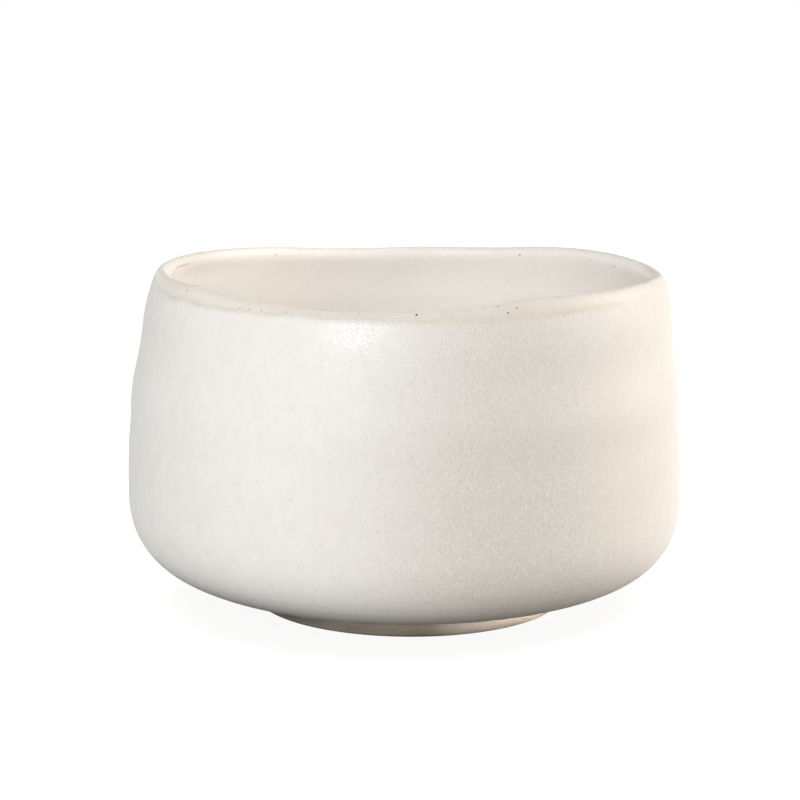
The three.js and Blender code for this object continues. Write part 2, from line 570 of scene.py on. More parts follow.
class Signal:
    """A node's output that takes part in Python expressions."""

    def __init__(self, graph: "Graph", socket: bpy.types.NodeSocket) -> None:
        """Keeps the output socket and the graph that it belongs to."""
        self.graph = graph
        self.socket = socket

    def math(self, operation: str, first: "Operand", second: "Operand") -> "Signal":
        """Adds a Math node of two operands."""
        return self.graph.node("ShaderNodeMath", {"operation": operation}, {0: first, 1: second})

    def __add__(self, other: "Operand") -> "Signal":
        """Sum."""
        return self.math("ADD", self, other)

    def __radd__(self, other: "Operand") -> "Signal":
        """Sum with the number first."""
        return self.math("ADD", other, self)

    def __sub__(self, other: "Operand") -> "Signal":
        """Difference."""
        return self.math("SUBTRACT", self, other)

    def __rsub__(self, other: "Operand") -> "Signal":
        """Difference with the number first."""
        return self.math("SUBTRACT", other, self)

    def __mul__(self, other: "Operand") -> "Signal":
        """Product."""
        return self.math("MULTIPLY", self, other)

    def __rmul__(self, other: "Operand") -> "Signal":
        """Product with the number first."""
        return self.math("MULTIPLY", other, self)

    def most(self, other: "Operand") -> "Signal":
        """The larger of the two."""
        return self.math("MAXIMUM", self, other)

    def rising(self, low: float, high: float) -> "Signal":
        """0 below low and 1 above high, with a smooth step between."""
        return self.graph.node(
            "ShaderNodeMapRange",
            {"interpolation_type": "SMOOTHSTEP"},
            {"Value": self, "From Min": low, "From Max": high},
        )


Operand = Union[Signal, float]


class Graph:
    """Node tree of a material or the world, filled node by node."""

    def __init__(self, tree: bpy.types.NodeTree) -> None:
        """Starts from an empty tree."""
        self.tree = tree
        self.tree.nodes.clear()

    def add(self, kind: str, settings: Mapping[str, Any], sockets: Mapping[Any, Any]) -> bpy.types.Node:
        """Adds a node.

        Args:
            kind: The node's type.
            settings: Properties that are set first.
            sockets: Values or signals of its inputs, by name or number.

        Returns:
            The new node.
        """
        made = self.tree.nodes.new(kind)
        for key, value in settings.items():
            setattr(made, key, value)
        for key, value in sockets.items():
            if isinstance(value, Signal):
                self.tree.links.new(value.socket, made.inputs[key])
            else:
                made.inputs[key].default_value = value
        return made

    def node(
        self, kind: str, settings: Mapping[str, Any], sockets: Mapping[Any, Any], output: Any = 0
    ) -> Signal:
        """Adds a node and gives one of its outputs, by name or number."""
        return Signal(self, self.add(kind, settings, sockets).outputs[output])

    def place(self, stretch: tuple[float, float, float] = (1.0, 1.0, 1.0)) -> Signal:
        """Object coordinates, stretched along each axis."""
        here = self.node("ShaderNodeTexCoord", {}, {}, "Object")
        return self.node("ShaderNodeVectorMath", {"operation": "MULTIPLY"}, {0: here, 1: stretch})

    def noise(self, where: Signal, grain: float, detail: float, rough: float = 0.5) -> Signal:
        """Noise about 0.5 whose blobs are as wide as the grain, in metres."""
        sockets = {"Vector": where, "Scale": 1.0 / grain, "Detail": detail, "Roughness": rough}
        return self.node("ShaderNodeTexNoise", {"noise_dimensions": "3D"}, sockets)

    def mark(self, name: str) -> Signal:
        """A value kept on the piece's points."""
        return self.node("ShaderNodeAttribute", {"attribute_name": name}, {}, "Fac")

    def mix(self, share: Operand, first: Any, second: Any) -> Signal:
        """A colour between two."""
        return self.node("ShaderNodeMix", {"data_type": "RGBA"}, {0: share, 6: first, 7: second}, 2)

    def tinge(self, share: Operand, colour: Signal, dye: Colour) -> Signal:
        """A colour that takes on a share of a dye, by product."""
        settings = {"data_type": "RGBA", "blend_type": "MULTIPLY"}
        return self.node("ShaderNodeMix", settings, {0: share, 6: colour, 7: dye}, 2)

    def bump(self, height: Signal, relief: float) -> Signal:
        """Normals that lean with a height, whose unit is the relief in metres."""
        sockets = {"Strength": 1.0, "Distance": relief, "Height": height}
        return self.node("ShaderNodeBump", {}, sockets)

    def specks(self, where: Signal, spacing: float, size: float, kept: float) -> Signal:
        """Round specks on a share of the cells of a Voronoi pattern.

        Args:
            where: Coordinates.
            spacing: Mean distance between cells in metres.
            size: Radius of the largest speck in metres.
            kept: Share of the cells that hold a speck.

        Returns:
            1 in a speck and 0 outside.
        """
        sockets = {"Vector": where, "Scale": 1.0 / spacing}
        cell = self.node("ShaderNodeTexVoronoi", {"feature": "F1"}, sockets, "Color")
        apart = self.node("ShaderNodeTexVoronoi", {"feature": "F1"}, sockets, "Distance")
        lot = self.node("ShaderNodeSeparateColor", {"mode": "RGB"}, {0: cell}, 0)
        reach = lot.rising(1.0 - kept, 1.0) * (size / spacing)
        return (reach - apart).rising(0.0, SPECK_SOFTNESS * size / spacing)


def empty_material(name: str) -> tuple[bpy.types.Material, Graph]:
    """Makes a material whose node tree is still empty.

    Args:
        name: Name of the material.

    Returns:
        The material and the graph that fills its tree.
    """
    made = bpy.data.materials.new(name)
    made.use_nodes = True
    return made, Graph(made.node_tree)


def finish(graph: Graph, sockets: Mapping[str, Any]) -> None:
    """Ends a material's graph in one Principled shader with the given sockets."""
    shader = graph.node("ShaderNodeBsdfPrincipled", {}, sockets)
    graph.add("ShaderNodeOutputMaterial", {}, {"Surface": shader})


@dataclass(frozen=True)
class IronSpot:
    """A dark fleck of iron in the cream coat, by its direction and its run inwards from the lip's crest."""

    towards: float
    inwards: float
    radius: float


@dataclass(frozen=True)
class WhiteGlaze:
    """Satin white glaze with a fine grain, creamy where it thins below the lip, with a brown seam there.

    Painted shade greys its colour over some stretches, and a painted highlight of glints lies below the lip.
    Each band gives the two values of a noise or mark between which a layer fades in.
    """

    name: str = "white_satin_glaze"
    white: Colour = paint(240, 239, 236)
    warm: Colour = paint(238, 235, 230)
    shade_and_mottle_grey: Colour = paint(216, 212, 204)
    thin: Colour = paint(234, 228, 217)
    seam: Colour = paint(210, 201, 184)
    fleck: Colour = paint(176, 166, 150)
    painted_glint: Colour = paint(254, 254, 252)
    roughness: float = 0.46
    gloss: float = 0.09
    grain_width: float = 0.36 * MM
    grain_stretch: float = 0.45
    sparkle_width: float = 0.25 * MM
    mottle_width: float = 1.7 * MM
    coat_roughness: float = 0.22
    cloud_width: float = 24.0 * MM
    fleck_spacing: float = 1.7 * MM
    fleck_size: float = 0.27 * MM
    fleck_kept: float = 0.6
    fleck_share: float = 0.32
    mottle_share: float = 0.12
    thin_share: float = 0.6
    thin_ragged: float = 0.6
    seam_least: float = 0.4
    cloud_band: Band = (0.32, 0.68)
    grain_band: Band = (0.35, 0.65)
    glint_band: Band = (0.50, 0.60)
    thin_band: Band = (0.15, 0.85)
    seam_band: Band = (0.3, 0.7)
    uneven_gloss: float = 0.15
    grain_relief: float = 0.2
    relief: float = 0.02 * MM

    def material(self) -> bpy.types.Material:
        """Paints clouds of white and warm white, greyed by painted shade under a fine grain.

        Small flecks, a painted highlight of glints where the coat sparkles, a creamy upper edge and the
        brown seam lie over them.

        Returns:
            The new material.
        """
        made, graph = empty_material(self.name)
        here = graph.place()
        running = graph.place((1.0, 1.0, self.grain_stretch))
        clouds = graph.noise(here, self.cloud_width, detail=5.0, rough=0.7).rising(*self.cloud_band)
        grain = graph.noise(running, self.grain_width, detail=3.0, rough=0.75)
        sparkle = graph.noise(here, self.sparkle_width, detail=1.0)
        mottle = graph.noise(running, self.mottle_width, detail=2.0).rising(*self.grain_band)
        flecks = graph.specks(here, self.fleck_spacing, self.fleck_size, self.fleck_kept)
        # Painted shade: the share of grey that the shade mark paints, with the grain's variation added.
        painted_shade_share = graph.mark("painted_shade") + graph.mark("grain") * (grain.rising(*self.grain_band) - 0.5)
        # Painted highlight: glints brighten the colour below the lip where the key lamp's highlight falls,
        # and raise the coat's gloss there.
        gloss_and_painted_glints = graph.mark("sparkle") * sparkle.rising(*self.glint_band)
        edge = (graph.mark("thin") + self.thin_ragged * (grain - 0.5)).rising(*self.thin_band)
        ragged = self.seam_least + (1.0 - self.seam_least) * grain.rising(*self.seam_band)
        colour = graph.mix(clouds, self.white, self.warm)
        colour = graph.mix(painted_shade_share, colour, self.shade_and_mottle_grey)
        colour = graph.mix(self.mottle_share * mottle, colour, self.shade_and_mottle_grey)
        # Painted highlight: white glints mixed into the colour.
        colour = graph.mix(gloss_and_painted_glints, colour, self.painted_glint)
        colour = graph.mix(self.fleck_share * flecks, colour, self.fleck)
        colour = graph.mix(self.thin_share * edge, colour, self.thin)
        colour = graph.mix(graph.mark("seam") * ragged, colour, self.seam)
        sockets = {
            "Base Color": colour,
            "Roughness": self.roughness + self.uneven_gloss * (sparkle - 0.5),
            "Normal": graph.bump(sparkle + self.grain_relief * grain, self.relief),
            "Specular IOR Level": self.gloss,
            "Coat Weight": gloss_and_painted_glints,
            "Coat Roughness": self.coat_roughness,
        }
        finish(graph, sockets)
        return made


@dataclass(frozen=True)
class CreamGlaze:
    """Cream glaze with iron flecks and pinholes, warmer where it thins over the lip, darkened by painted
    shade in places.

    Each band gives the two values of a noise or mark between which a layer fades in.
    """

    name: str = "cream_satin_glaze"
    cream: Colour = paint(249, 246, 240)
    pale: Colour = paint(251, 248, 243)
    mottled: Colour = paint(243, 238, 230)
    thin: Colour = paint(233, 228, 218)
    # Painted shade, and the seam's darker border: a product that darkens the cream.
    shade_and_seam: Colour = (0.88, 0.87, 0.87, 1.0)
    tinge: Colour = paint(170, 154, 136)
    iron: Colour = paint(88, 70, 56)
    pinhole: Colour = paint(184, 168, 148)
    roughness: float = 0.46
    gloss: float = 0.25
    cloud_width: float = 14.0 * MM
    mottle_width: float = 1.3 * MM
    sparkle_width: float = 0.4 * MM
    pinhole_spacing: float = 2.2 * MM
    pinhole_size: float = 0.17 * MM
    pinhole_kept: float = 0.3
    pinhole_share: float = 0.4
    fleck_stretch: tuple[float, float, float] = (1.03, 0.97, 1.01)
    fleck_spacing: float = 4.6 * MM
    fleck_size: float = 0.22 * MM
    fleck_kept: float = 0.2
    fleck_share: float = 0.6
    spot_core: float = 0.5
    spot_reach: float = 1.2
    spot_ragged: float = 0.6
    mottle_share: float = 0.35
    cloud_band: Band = (0.3, 0.7)
    mottle_band: Band = (0.45, 0.75)
    lip_band: Band = (0.2, 0.9)
    dark_line_band: Band = (0.25, 0.5)
    lip_ragged: float = 0.5
    lip_least: float = 0.6
    lip_gain: float = 0.6
    uneven_gloss: float = 0.14
    pinhole_depth: float = 1.5
    relief: float = 0.015 * MM

    def material(self, spots: Sequence[tuple[Vector, float]]) -> bpy.types.Material:
        """Paints cream clouds, a thin warm lip, stretches of painted shade, the seam's darker border and a
        dark line inside the lip.

        Pinholes, small iron flecks and the larger iron spots lie over them. A spot is dark inside its core
        and fades out at its reach, both as shares of its radius.

        Args:
            spots: Place and radius of each larger spot.

        Returns:
            The new material.
        """
        made, graph = empty_material(self.name)
        here = graph.place()
        beside = graph.place(self.fleck_stretch)
        clouds = graph.noise(here, self.cloud_width, detail=2.0).rising(*self.cloud_band)
        mottle = graph.noise(here, self.mottle_width, detail=3.0, rough=0.6)
        sparkle = graph.noise(here, self.sparkle_width, detail=1.0)
        pinholes = graph.specks(here, self.pinhole_spacing, self.pinhole_size, self.pinhole_kept)
        flecks = graph.specks(beside, self.fleck_spacing, self.fleck_size, self.fleck_kept)
        lip = (graph.mark("lip") + self.lip_ragged * (mottle - 0.5)).rising(*self.lip_band)
        colour = graph.mix(clouds, self.cream, self.pale)
        colour = graph.mix(self.mottle_share * mottle.rising(*self.mottle_band), colour, self.mottled)
        colour = graph.mix(lip * (self.lip_least + self.lip_gain * mottle), colour, self.thin)
        # Painted shade, with the seam's darker border, darkens the cream by a product.
        colour = graph.tinge(graph.mark("shade_and_seam"), colour, self.shade_and_seam)
        # A thin dark line inside the rim's left end.
        colour = graph.mix(graph.mark("tinge") * mottle.rising(*self.dark_line_band), colour, self.tinge)
        colour = graph.mix(self.pinhole_share * pinholes, colour, self.pinhole)
        iron = self.fleck_share * flecks
        for place, radius in spots:
            ends = {0: here, 1: place}
            apart = graph.node("ShaderNodeVectorMath", {"operation": "DISTANCE"}, ends, "Value")
            ragged = apart + (self.spot_ragged * radius) * (sparkle - 0.5)
            iron = iron.most(1.0 - ragged.rising(self.spot_core * radius, self.spot_reach * radius))
        sockets = {
            "Base Color": graph.mix(iron, colour, self.iron),
            "Roughness": self.roughness + self.uneven_gloss * (mottle - 0.5),
            "Normal": graph.bump(sparkle + mottle - self.pinhole_depth * pinholes, self.relief),
            "Specular IOR Level": self.gloss,
        }
        finish(graph, sockets)
        return made


@dataclass(frozen=True)
class BareClay:
    """Bare fired stoneware: buff, gritty and scored by the turning tool.

    Each band gives the two values of a noise between which a layer fades in.
    """

    name: str
    buff: Colour
    toasted: Colour
    grit: Colour
    roughness: float = 0.88
    gloss: float = 0.2
    cloud_width: float = 9.0 * MM
    grit_spacing: float = 0.9 * MM
    grit_size: float = 0.2 * MM
    grit_kept: float = 0.35
    grit_share: float = 0.55
    grain_width: float = 0.4 * MM
    score_pitch: float = 0.55 * MM
    score_stretch: tuple[float, float, float] = (0.06, 0.06, 1.0)
    score_share: float = 0.35
    score_band: Band = (0.5, 0.8)
    cloud_share: float = 0.6
    cloud_band: Band = (0.35, 0.7)
    uneven_gloss: float = 0.12
    score_relief: float = 0.7
    grit_depth: float = 0.5
    relief: float = 0.07 * MM

    def material(self) -> bpy.types.Material:
        """Paints toasted clouds, dark grit and the fine level lines of the turning tool.

        Returns:
            The new material.
        """
        made, graph = empty_material(self.name)
        here = graph.place()
        level = graph.place(self.score_stretch)
        clouds = graph.noise(here, self.cloud_width, detail=3.0).rising(*self.cloud_band)
        scores = graph.noise(level, self.score_pitch, detail=2.0)
        grain = graph.noise(here, self.grain_width, detail=3.0, rough=0.65)
        grit = graph.specks(here, self.grit_spacing, self.grit_size, self.grit_kept)
        colour = graph.mix(self.cloud_share * clouds, self.buff, self.toasted)
        colour = graph.mix(self.score_share * scores.rising(*self.score_band), colour, self.toasted)
        rise = grain + self.score_relief * scores - self.grit_depth * grit
        sockets = {
            "Base Color": graph.mix(self.grit_share * grit, colour, self.grit),
            "Roughness": self.roughness + self.uneven_gloss * (grain - 0.5),
            "Normal": graph.bump(rise, self.relief),
            "Specular IOR Level": self.gloss,
        }
        finish(graph, sockets)
        return made


def fasten(piece: bpy.types.Object, node: str, material: bpy.types.Material) -> None:
    """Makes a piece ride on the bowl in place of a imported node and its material.

    Args:
        piece: The dressed piece.
        node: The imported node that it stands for.
        material: Its finish.
    """
    piece.data.materials.append(material)
    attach(piece, "root")
    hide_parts(node)
    log.info("%s: %d points, %d faces", piece.name, len(piece.data.vertices), len(piece.data.polygons))


@dataclass(frozen=True)
class WhiteCoat:
    """The white coat outside, from the foot up to its wavering edge below the lip.

    Its marks tell the finish where it is thin, browned and grainy, where shade is painted, and where it
    sparkles with a painted highlight.
    """

    form: ThrownForm
    turns: int = 360
    heel_rows: int = 80
    wall_rows: int = 104
    edge_rows: int = 26
    edge_zone: float = 3.0 * MM
    foot_run: float = 0.7 * MM
    least_coat: float = 0.03 * MM
    flush: float = 0.05 * MM
    flush_run: float = 1.5 * MM
    thin_run: float = 0.7 * MM
    seam_drop: float = 0.2 * MM
    seam_width: float = 0.6 * MM
    patch_least: float = 0.5
    patch_gain: float = 0.45
    patch_band: Band = (-0.5, 1.0)
    # Painted shade: a grey bell over the stretch that lies dim between the key and the warm lamp; it also
    # sets the grain's strength.
    painted_shade_share: Stretch = Stretch(292.0, 1.0, 26.0)
    # Painted shade on the side that faces the warm lamp, which keeps that side from shining too bright.
    side_shade: Stretch = Stretch(0.0, 0.35, 30.0)
    shade_least: float = 0.066
    shade_gain: float = 0.76
    shade_loss: float = 0.2
    shade_levels: Band = (40.0 * MM, 64.0 * MM)
    grain_least: float = 0.09
    grain_gain: float = 0.60
    grain_below: float = 1.3
    grain_loss: float = 0.5
    grain_levels: Band = (12.0 * MM, 62.0 * MM)
    # Painted highlight and glossier coat: the sparkle mark's stretch round the bowl, where the key lamp's
    # highlight falls.
    glossy: Stretch = Stretch(260.0, 0.72, 10.0)
    glint_level: float = 66.5 * MM
    glint_height: float = 9.0 * MM
    line_pitch: float = 2.9 * MM
    line_depth: float = 0.008 * MM
    line_wander: float = 1.2
    line_least: float = 0.6
    line_gain: float = 0.4
    uneven: float = 0.035 * MM
    waver: HandWaver = HandWaver(seed=11, terms=20, most_per_turn=5, pitch=26.0 * MM)
    touch: HandWaver = HandWaver(seed=12, terms=20, most_per_turn=7, pitch=18.0 * MM)
    patches: HandWaver = HandWaver(seed=13, terms=16, most_per_turn=40, pitch=40.0 * MM)
    hidden_step: int = 8

    def section(self, angle: np.ndarray) -> Run:
        """Clay under the coat: the heel's superellipse, then the wall up to the coat's own edge.

        Args:
            angle: Directions, one row.

        Returns:
            Radii and heights, rows by turns.
        """
        form = self.form
        top = form.break_height(angle) + form.glaze_tuck
        wall = blend(form.belly_height, top - self.edge_zone, column(self.wall_rows))
        edge = blend(top - self.edge_zone, top, column(self.edge_rows))
        runs = [form.heel(self.heel_rows), (form.outside(wall), wall), (form.outside(edge), edge)]
        return end_to_end(runs, angle)

    def marks(self, angle: np.ndarray, height: np.ndarray, along: np.ndarray) -> dict[str, np.ndarray]:
        """Shares of the finish over the coat.

        It is thin at both edges. The seam is a bell of the drop below the upper edge, broken into patches.
        Painted shade and grain are strongest over one stretch and lose strength up the wall, and more
        painted shade lies on the side that faces the warm lamp. The sparkle, a glossier patch with a painted
        highlight in its colour, is a bell of both direction and height.

        Args:
            angle: Directions, one row.
            height: Heights of the clay, rows by turns.
            along: Run up from the foot, rows by turns.

        Returns:
            The values by the name of their mark, rows by turns.
        """
        drop = along[-1:] - along - self.form.glaze_tuck
        patches = ease(*self.patch_band, self.patches.over(angle, along))
        patchy = self.patch_least + self.patch_gain * patches
        painted_shade_share = self.painted_shade_share.over(angle)
        lower = 1.0 - self.shade_loss * ease(*self.shade_levels, height)
        coarse = self.grain_below - self.grain_loss * ease(*self.grain_levels, height)
        near_highlight = bell(height - self.glint_level, self.glint_height)
        return {
            "thin": 1.0 - ease(0.0, self.thin_run, drop) * ease(0.0, self.foot_run, along),
            "seam": patchy * bell(drop - self.seam_drop, self.seam_width) * self.form.browned(angle),
            "painted_shade": (self.shade_least + self.shade_gain * painted_shade_share) * lower + self.side_shade.over(angle),
            "grain": (self.grain_least + self.grain_gain * painted_shade_share) * coarse,
            # Painted highlight with raised gloss, below the lip where the key lamp reflects.
            "sparkle": self.glossy.over(angle) * near_highlight,
        }

    def build(self) -> bpy.types.Object:
        """Raises the coat's thickness from both edges, flush with the cream at the lip.

        Faint throwing lines, a cosine of the run up the wall plus the angle, and a slow unevenness lie on it
        and fade out at the lip.

        Returns:
            The closed coat.
        """
        form = self.form
        angle = directions(self.turns)
        radius, height = self.section(angle)
        along = run_length(radius, height)
        below = along[-1:] - along
        film = ease(0.0, form.glaze_tuck + form.glaze_lap, below) * ease(0.0, self.foot_run, along)
        waver = self.waver.over(angle, along)
        touch = self.touch.over(angle, along)
        lines = np.cos(TAU * along / self.line_pitch + angle + self.line_wander * waver)
        flat = bell(below - form.glaze_tuck, self.flush_run)
        lines = self.line_depth * lines * (self.line_least + self.line_gain * touch)
        hand = (1.0 - flat) * (lines + self.uneven * waver)
        coat = self.least_coat + film * (form.outer_glaze - self.least_coat - self.flush * flat + hand)
        face_radius, face_height = offset(radius, height, coat)
        face = form.settle(face_radius, face_height, angle)
        back = form.settle(radius, height, angle)[:: -self.hidden_step]
        marks = self.marks(angle, height, along)
        marks = {name: both_faces(values, self.hidden_step) for name, values in marks.items()}
        return skin("white_glaze_coat", np.concatenate([face, back]), True, marks)

    def dress(self, piece: bpy.types.Object) -> None:
        """Gives the coat its white satin finish."""
        fasten(piece, "outer_glaze", WhiteGlaze().material())


@dataclass(frozen=True)
class CreamCoat:
    """The cream coat over the lip, the inside wall and the floor.

    Its marks tell the finish where it is thin over the lip, where a dark line runs, where shade is painted
    and where the seam darkens it.
    """

    form: ThrownForm
    turns: int = 360
    lip_rows: int = 36
    wall_rows: int = 80
    bottom_rows: int = 56
    floor_rows: int = 26
    least_coat: float = 0.03 * MM
    flush: float = 0.05 * MM
    flush_run: float = 1.5 * MM
    ring_pitch: float = 4.4 * MM
    ring_depth: float = 0.03 * MM
    floor_pitch: float = 4.0 * MM
    floor_depth: float = 0.09 * MM
    uneven: float = 0.05 * MM
    knob_height: float = 0.5 * MM
    knob_spread: float = 5.0 * MM
    waver: HandWaver = HandWaver(seed=21, terms=20, most_per_turn=5, pitch=22.0 * MM)
    ring_wander: float = 1.5
    ring_levels: Band = (8.0 * MM, 16.0 * MM)
    floor_shares: Band = (0.6, 1.0)
    middle_radius: float = 9.0 * MM
    hidden_step: int = 8
    lip_from: float = 2.5 * MM
    lip_to: float = 5.5 * MM
    # Painted shade on the lip's right stretch, where the warm lamp falls on it.
    painted_shade_share: Stretch = Stretch(304.0, 0.9, 32.0)
    pale_right: Stretch = Stretch(335.0, 0.25, 22.0)
    # Painted light: the lip's left end keeps less of its warm tint, so it reads paler where it lies in
    # shade.
    painted_light_left: Stretch = Stretch(188.0, 0.6, 13.0)
    # Painted shade on the lip's right end and on the inner side of the rim's left end.
    lip_shade_right: Stretch = Stretch(338.0, 0.6, 11.0)
    rim_shade_left: Stretch = Stretch(158.0, 0.9, 17.0)
    crest_run: Band = (-0.5 * MM, 0.5 * MM)
    left_run: Band = (3.0 * MM, 6.0 * MM)
    wall_run: Band = (0.5 * MM, 3.0 * MM)
    border_width: float = 0.7 * MM
    border_share: float = 0.6
    dark_line_start: float = 159.0
    dark_line_end: float = 176.0
    dark_line_fades: Band = (4.0, 2.0)
    dark_line_hook: float = 7.0
    dark_line_inwards: float = 1.95 * MM
    dark_line_bend: float = 1.1 * MM
    dark_line_width: float = 0.13 * MM
    dark_line_share: float = 0.75
    spots: Sequence[IronSpot] = (
        IronSpot(271.0, -0.6 * MM, 0.25 * MM),
        IronSpot(259.0, -0.1 * MM, 0.15 * MM),
        IronSpot(60.0, 2.2 * MM, 0.19 * MM),
        IronSpot(27.0, 2.5 * MM, 0.19 * MM),
        IronSpot(130.0, 0.3 * MM, 0.15 * MM),
        IronSpot(127.0, 2.0 * MM, 0.15 * MM),
        IronSpot(172.0, 4.1 * MM, 0.20 * MM),
        IronSpot(214.0, -1.4 * MM, 0.18 * MM),
        IronSpot(210.0, -1.2 * MM, 0.13 * MM),
        IronSpot(288.0, -0.5 * MM, 0.15 * MM),
        IronSpot(292.0, -1.4 * MM, 0.17 * MM),
        IronSpot(290.0, -2.0 * MM, 0.17 * MM),
        IronSpot(302.0, -0.2 * MM, 0.15 * MM),
        IronSpot(37.0, 2.2 * MM, 0.13 * MM),
        IronSpot(220.0, -1.2 * MM, 0.11 * MM),
        IronSpot(232.0, -1.8 * MM, 0.13 * MM),
        IronSpot(234.5, -1.7 * MM, 0.13 * MM),
        IronSpot(237.5, -1.5 * MM, 0.14 * MM),
        IronSpot(243.5, -1.1 * MM, 0.13 * MM),
    )

    def section(self, angle: np.ndarray) -> Run:
        """Clay under the coat: both roundings of the lip, the inside wall, the bottom and the floor.

        Args:
            angle: Directions, one row.

        Returns:
            Radii and heights, rows by turns, that end on the axis.
        """
        form = self.form
        lowest = form.break_height(angle) - form.glaze_tuck
        first = np.arcsin(np.clip((lowest - form.lip_start) / form.lip_band, -1.0, 1.0))
        floor_radius = form.floor_flat_radius * (1.0 - column(self.floor_rows))
        runs = [
            form.lip_outside(first, self.lip_rows),
            form.lip_inside(self.lip_rows),
            form.down_inside(self.wall_rows),
            form.bottom(self.bottom_rows),
            (floor_radius, np.full_like(floor_radius, form.floor_height)),
        ]
        return end_to_end(runs, angle)

    def face(self, angle: np.ndarray, radius: np.ndarray, height: np.ndarray) -> np.ndarray:
        """Coats the section, with the spiral of throwing rings down the wall and across the floor.

        The rings are a cosine of the run down the wall, or of the radius on the floor, plus the angle. A low
        knob, a bell of the radius, stands on the axis.

        Args:
            angle: Directions, one row.
            radius: Radii of the clay, rows by turns.
            height: Heights of the clay, rows by turns.

        Returns:
            Points of the coat's own face, rows by turns by 3.
        """
        form = self.form
        along = run_length(radius, height)
        film = ease(0.0, form.glaze_tuck + form.glaze_lap, along)
        flat = bell(along - form.glaze_tuck, self.flush_run)
        waver = self.waver.over(angle, along)
        on_wall = ease(*self.ring_levels, along)
        on_floor = 1.0 - ease(*self.floor_shares, radius / form.clay_belly)
        spiral = np.cos(TAU * along / self.ring_pitch + angle + self.ring_wander * waver)
        floor_spiral = np.cos(TAU * radius / self.floor_pitch + angle + waver)
        inner_fade = ease(0.0, self.middle_radius, radius)
        rings = self.ring_depth * spiral * on_wall * (1.0 - on_floor)
        rings = rings + self.floor_depth * floor_spiral * on_floor * inner_fade
        knob = self.knob_height * bell(radius, self.knob_spread)
        hand = rings + knob + self.uneven * waver * inner_fade * on_wall
        coat = self.least_coat + film * (form.inner_glaze - self.least_coat + self.flush * flat + hand)
        face_radius, face_height = offset(radius, height, coat)
        return form.settle(np.where(radius > 0.0, face_radius, 0.0), face_height, angle)

    def build(self) -> bpy.types.Object:
        """Closes the coat's own face with the clay's face under it.

        Returns:
            The closed coat.
        """
        angle = directions(self.turns)
        radius, height = self.section(angle)
        back = self.form.settle(radius, height, angle)[:: -self.hidden_step]
        marks = self.marks(angle, radius, height)
        marks = {name: both_faces(values, self.hidden_step) for name, values in marks.items()}
        rows = np.concatenate([self.face(angle, radius, height), back])
        return skin("cream_glaze_coat", rows, True, marks)

    def marks(self, angle: np.ndarray, radius: np.ndarray, height: np.ndarray) -> dict[str, np.ndarray]:
        """Shares of the finish over the coat.

        The lip is thin down to a set run from the coat's edge, and less so over two pale stretches; the pale
        left one is painted light on the lip's shaded left end. A dark line runs a short way inside the lip
        and bends away at its end. Shade is painted over some stretches of the lip, on the inner side of the
        rim's left end and on the right of the inside wall, and the coat is darker along the seam.

        Args:
            angle: Directions, one row.
            radius: Radii of the clay, rows by turns.
            height: Heights of the clay, rows by turns.

        Returns:
            The values by the name of their mark, rows by turns.
        """
        turned = np.degrees(angle)
        along = run_length(radius, height)
        inwards = self.inwards(radius, height)
        # The left stretch of paler lip is painted light.
        tint = 1.0 - self.pale_right.over(angle) - self.painted_light_left.over(angle)
        begun = ease(0.0, self.dark_line_fades[0], turned - self.dark_line_start)
        ended = ease(0.0, self.dark_line_fades[1], self.dark_line_end - turned)
        bent = self.dark_line_bend * ease(self.dark_line_end - self.dark_line_hook, self.dark_line_end, turned)
        line = bell(inwards - self.dark_line_inwards - bent, self.dark_line_width)
        left = self.rim_shade_left.over(angle)
        # Painted shade over the lip's right stretches and the inner side of the rim's left end.
        lip_shade = self.painted_shade_share.over(angle) + self.lip_shade_right.over(angle)
        lip_shade = lip_shade + left * ease(*self.crest_run, inwards)
        # Painted shade: the inside wall darkens towards its right side.
        wall_shade = 0.5 * (1.0 + np.cos(angle)) + left * (1.0 - ease(*self.left_run, inwards))
        shade_and_seam = blend(lip_shade, wall_shade, ease(*self.wall_run, inwards))
        border = self.border_share * bell(along - self.form.glaze_tuck, self.border_width)
        return {
            "lip": tint * (1.0 - ease(self.lip_from, self.lip_to, along)),
            "tinge": self.dark_line_share * line * begun * ended,
            "shade_and_seam": shade_and_seam + border * self.form.browned(angle),
        }

    def inwards(self, radius: np.ndarray, height: np.ndarray) -> np.ndarray:
        """Run of each point of the section from the crest of the lip, inwards positive."""
        along = run_length(radius, height)
        return along - along[np.argmax(height[:, 0])]

    def place(self, spot: IronSpot) -> Vector:
        """Finds a spot on the coat's own face.

        Args:
            spot: Its direction and its run inwards from the crest.

        Returns:
            The nearest point of the face's rows in that direction.
        """
        angle = np.full((1, 1), math.radians(spot.towards))
        radius, height = self.section(angle)
        apart = np.abs(self.inwards(radius, height) - spot.inwards)
        return Vector(self.face(angle, radius, height)[np.argmin(apart), 0])

    def dress(self, piece: bpy.types.Object) -> None:
        """Gives the coat its cream satin finish with its iron spots."""
        spots = [(self.place(spot), spot.radius) for spot in self.spots]
        fasten(piece, "inner_glaze", CreamGlaze().material(spots))


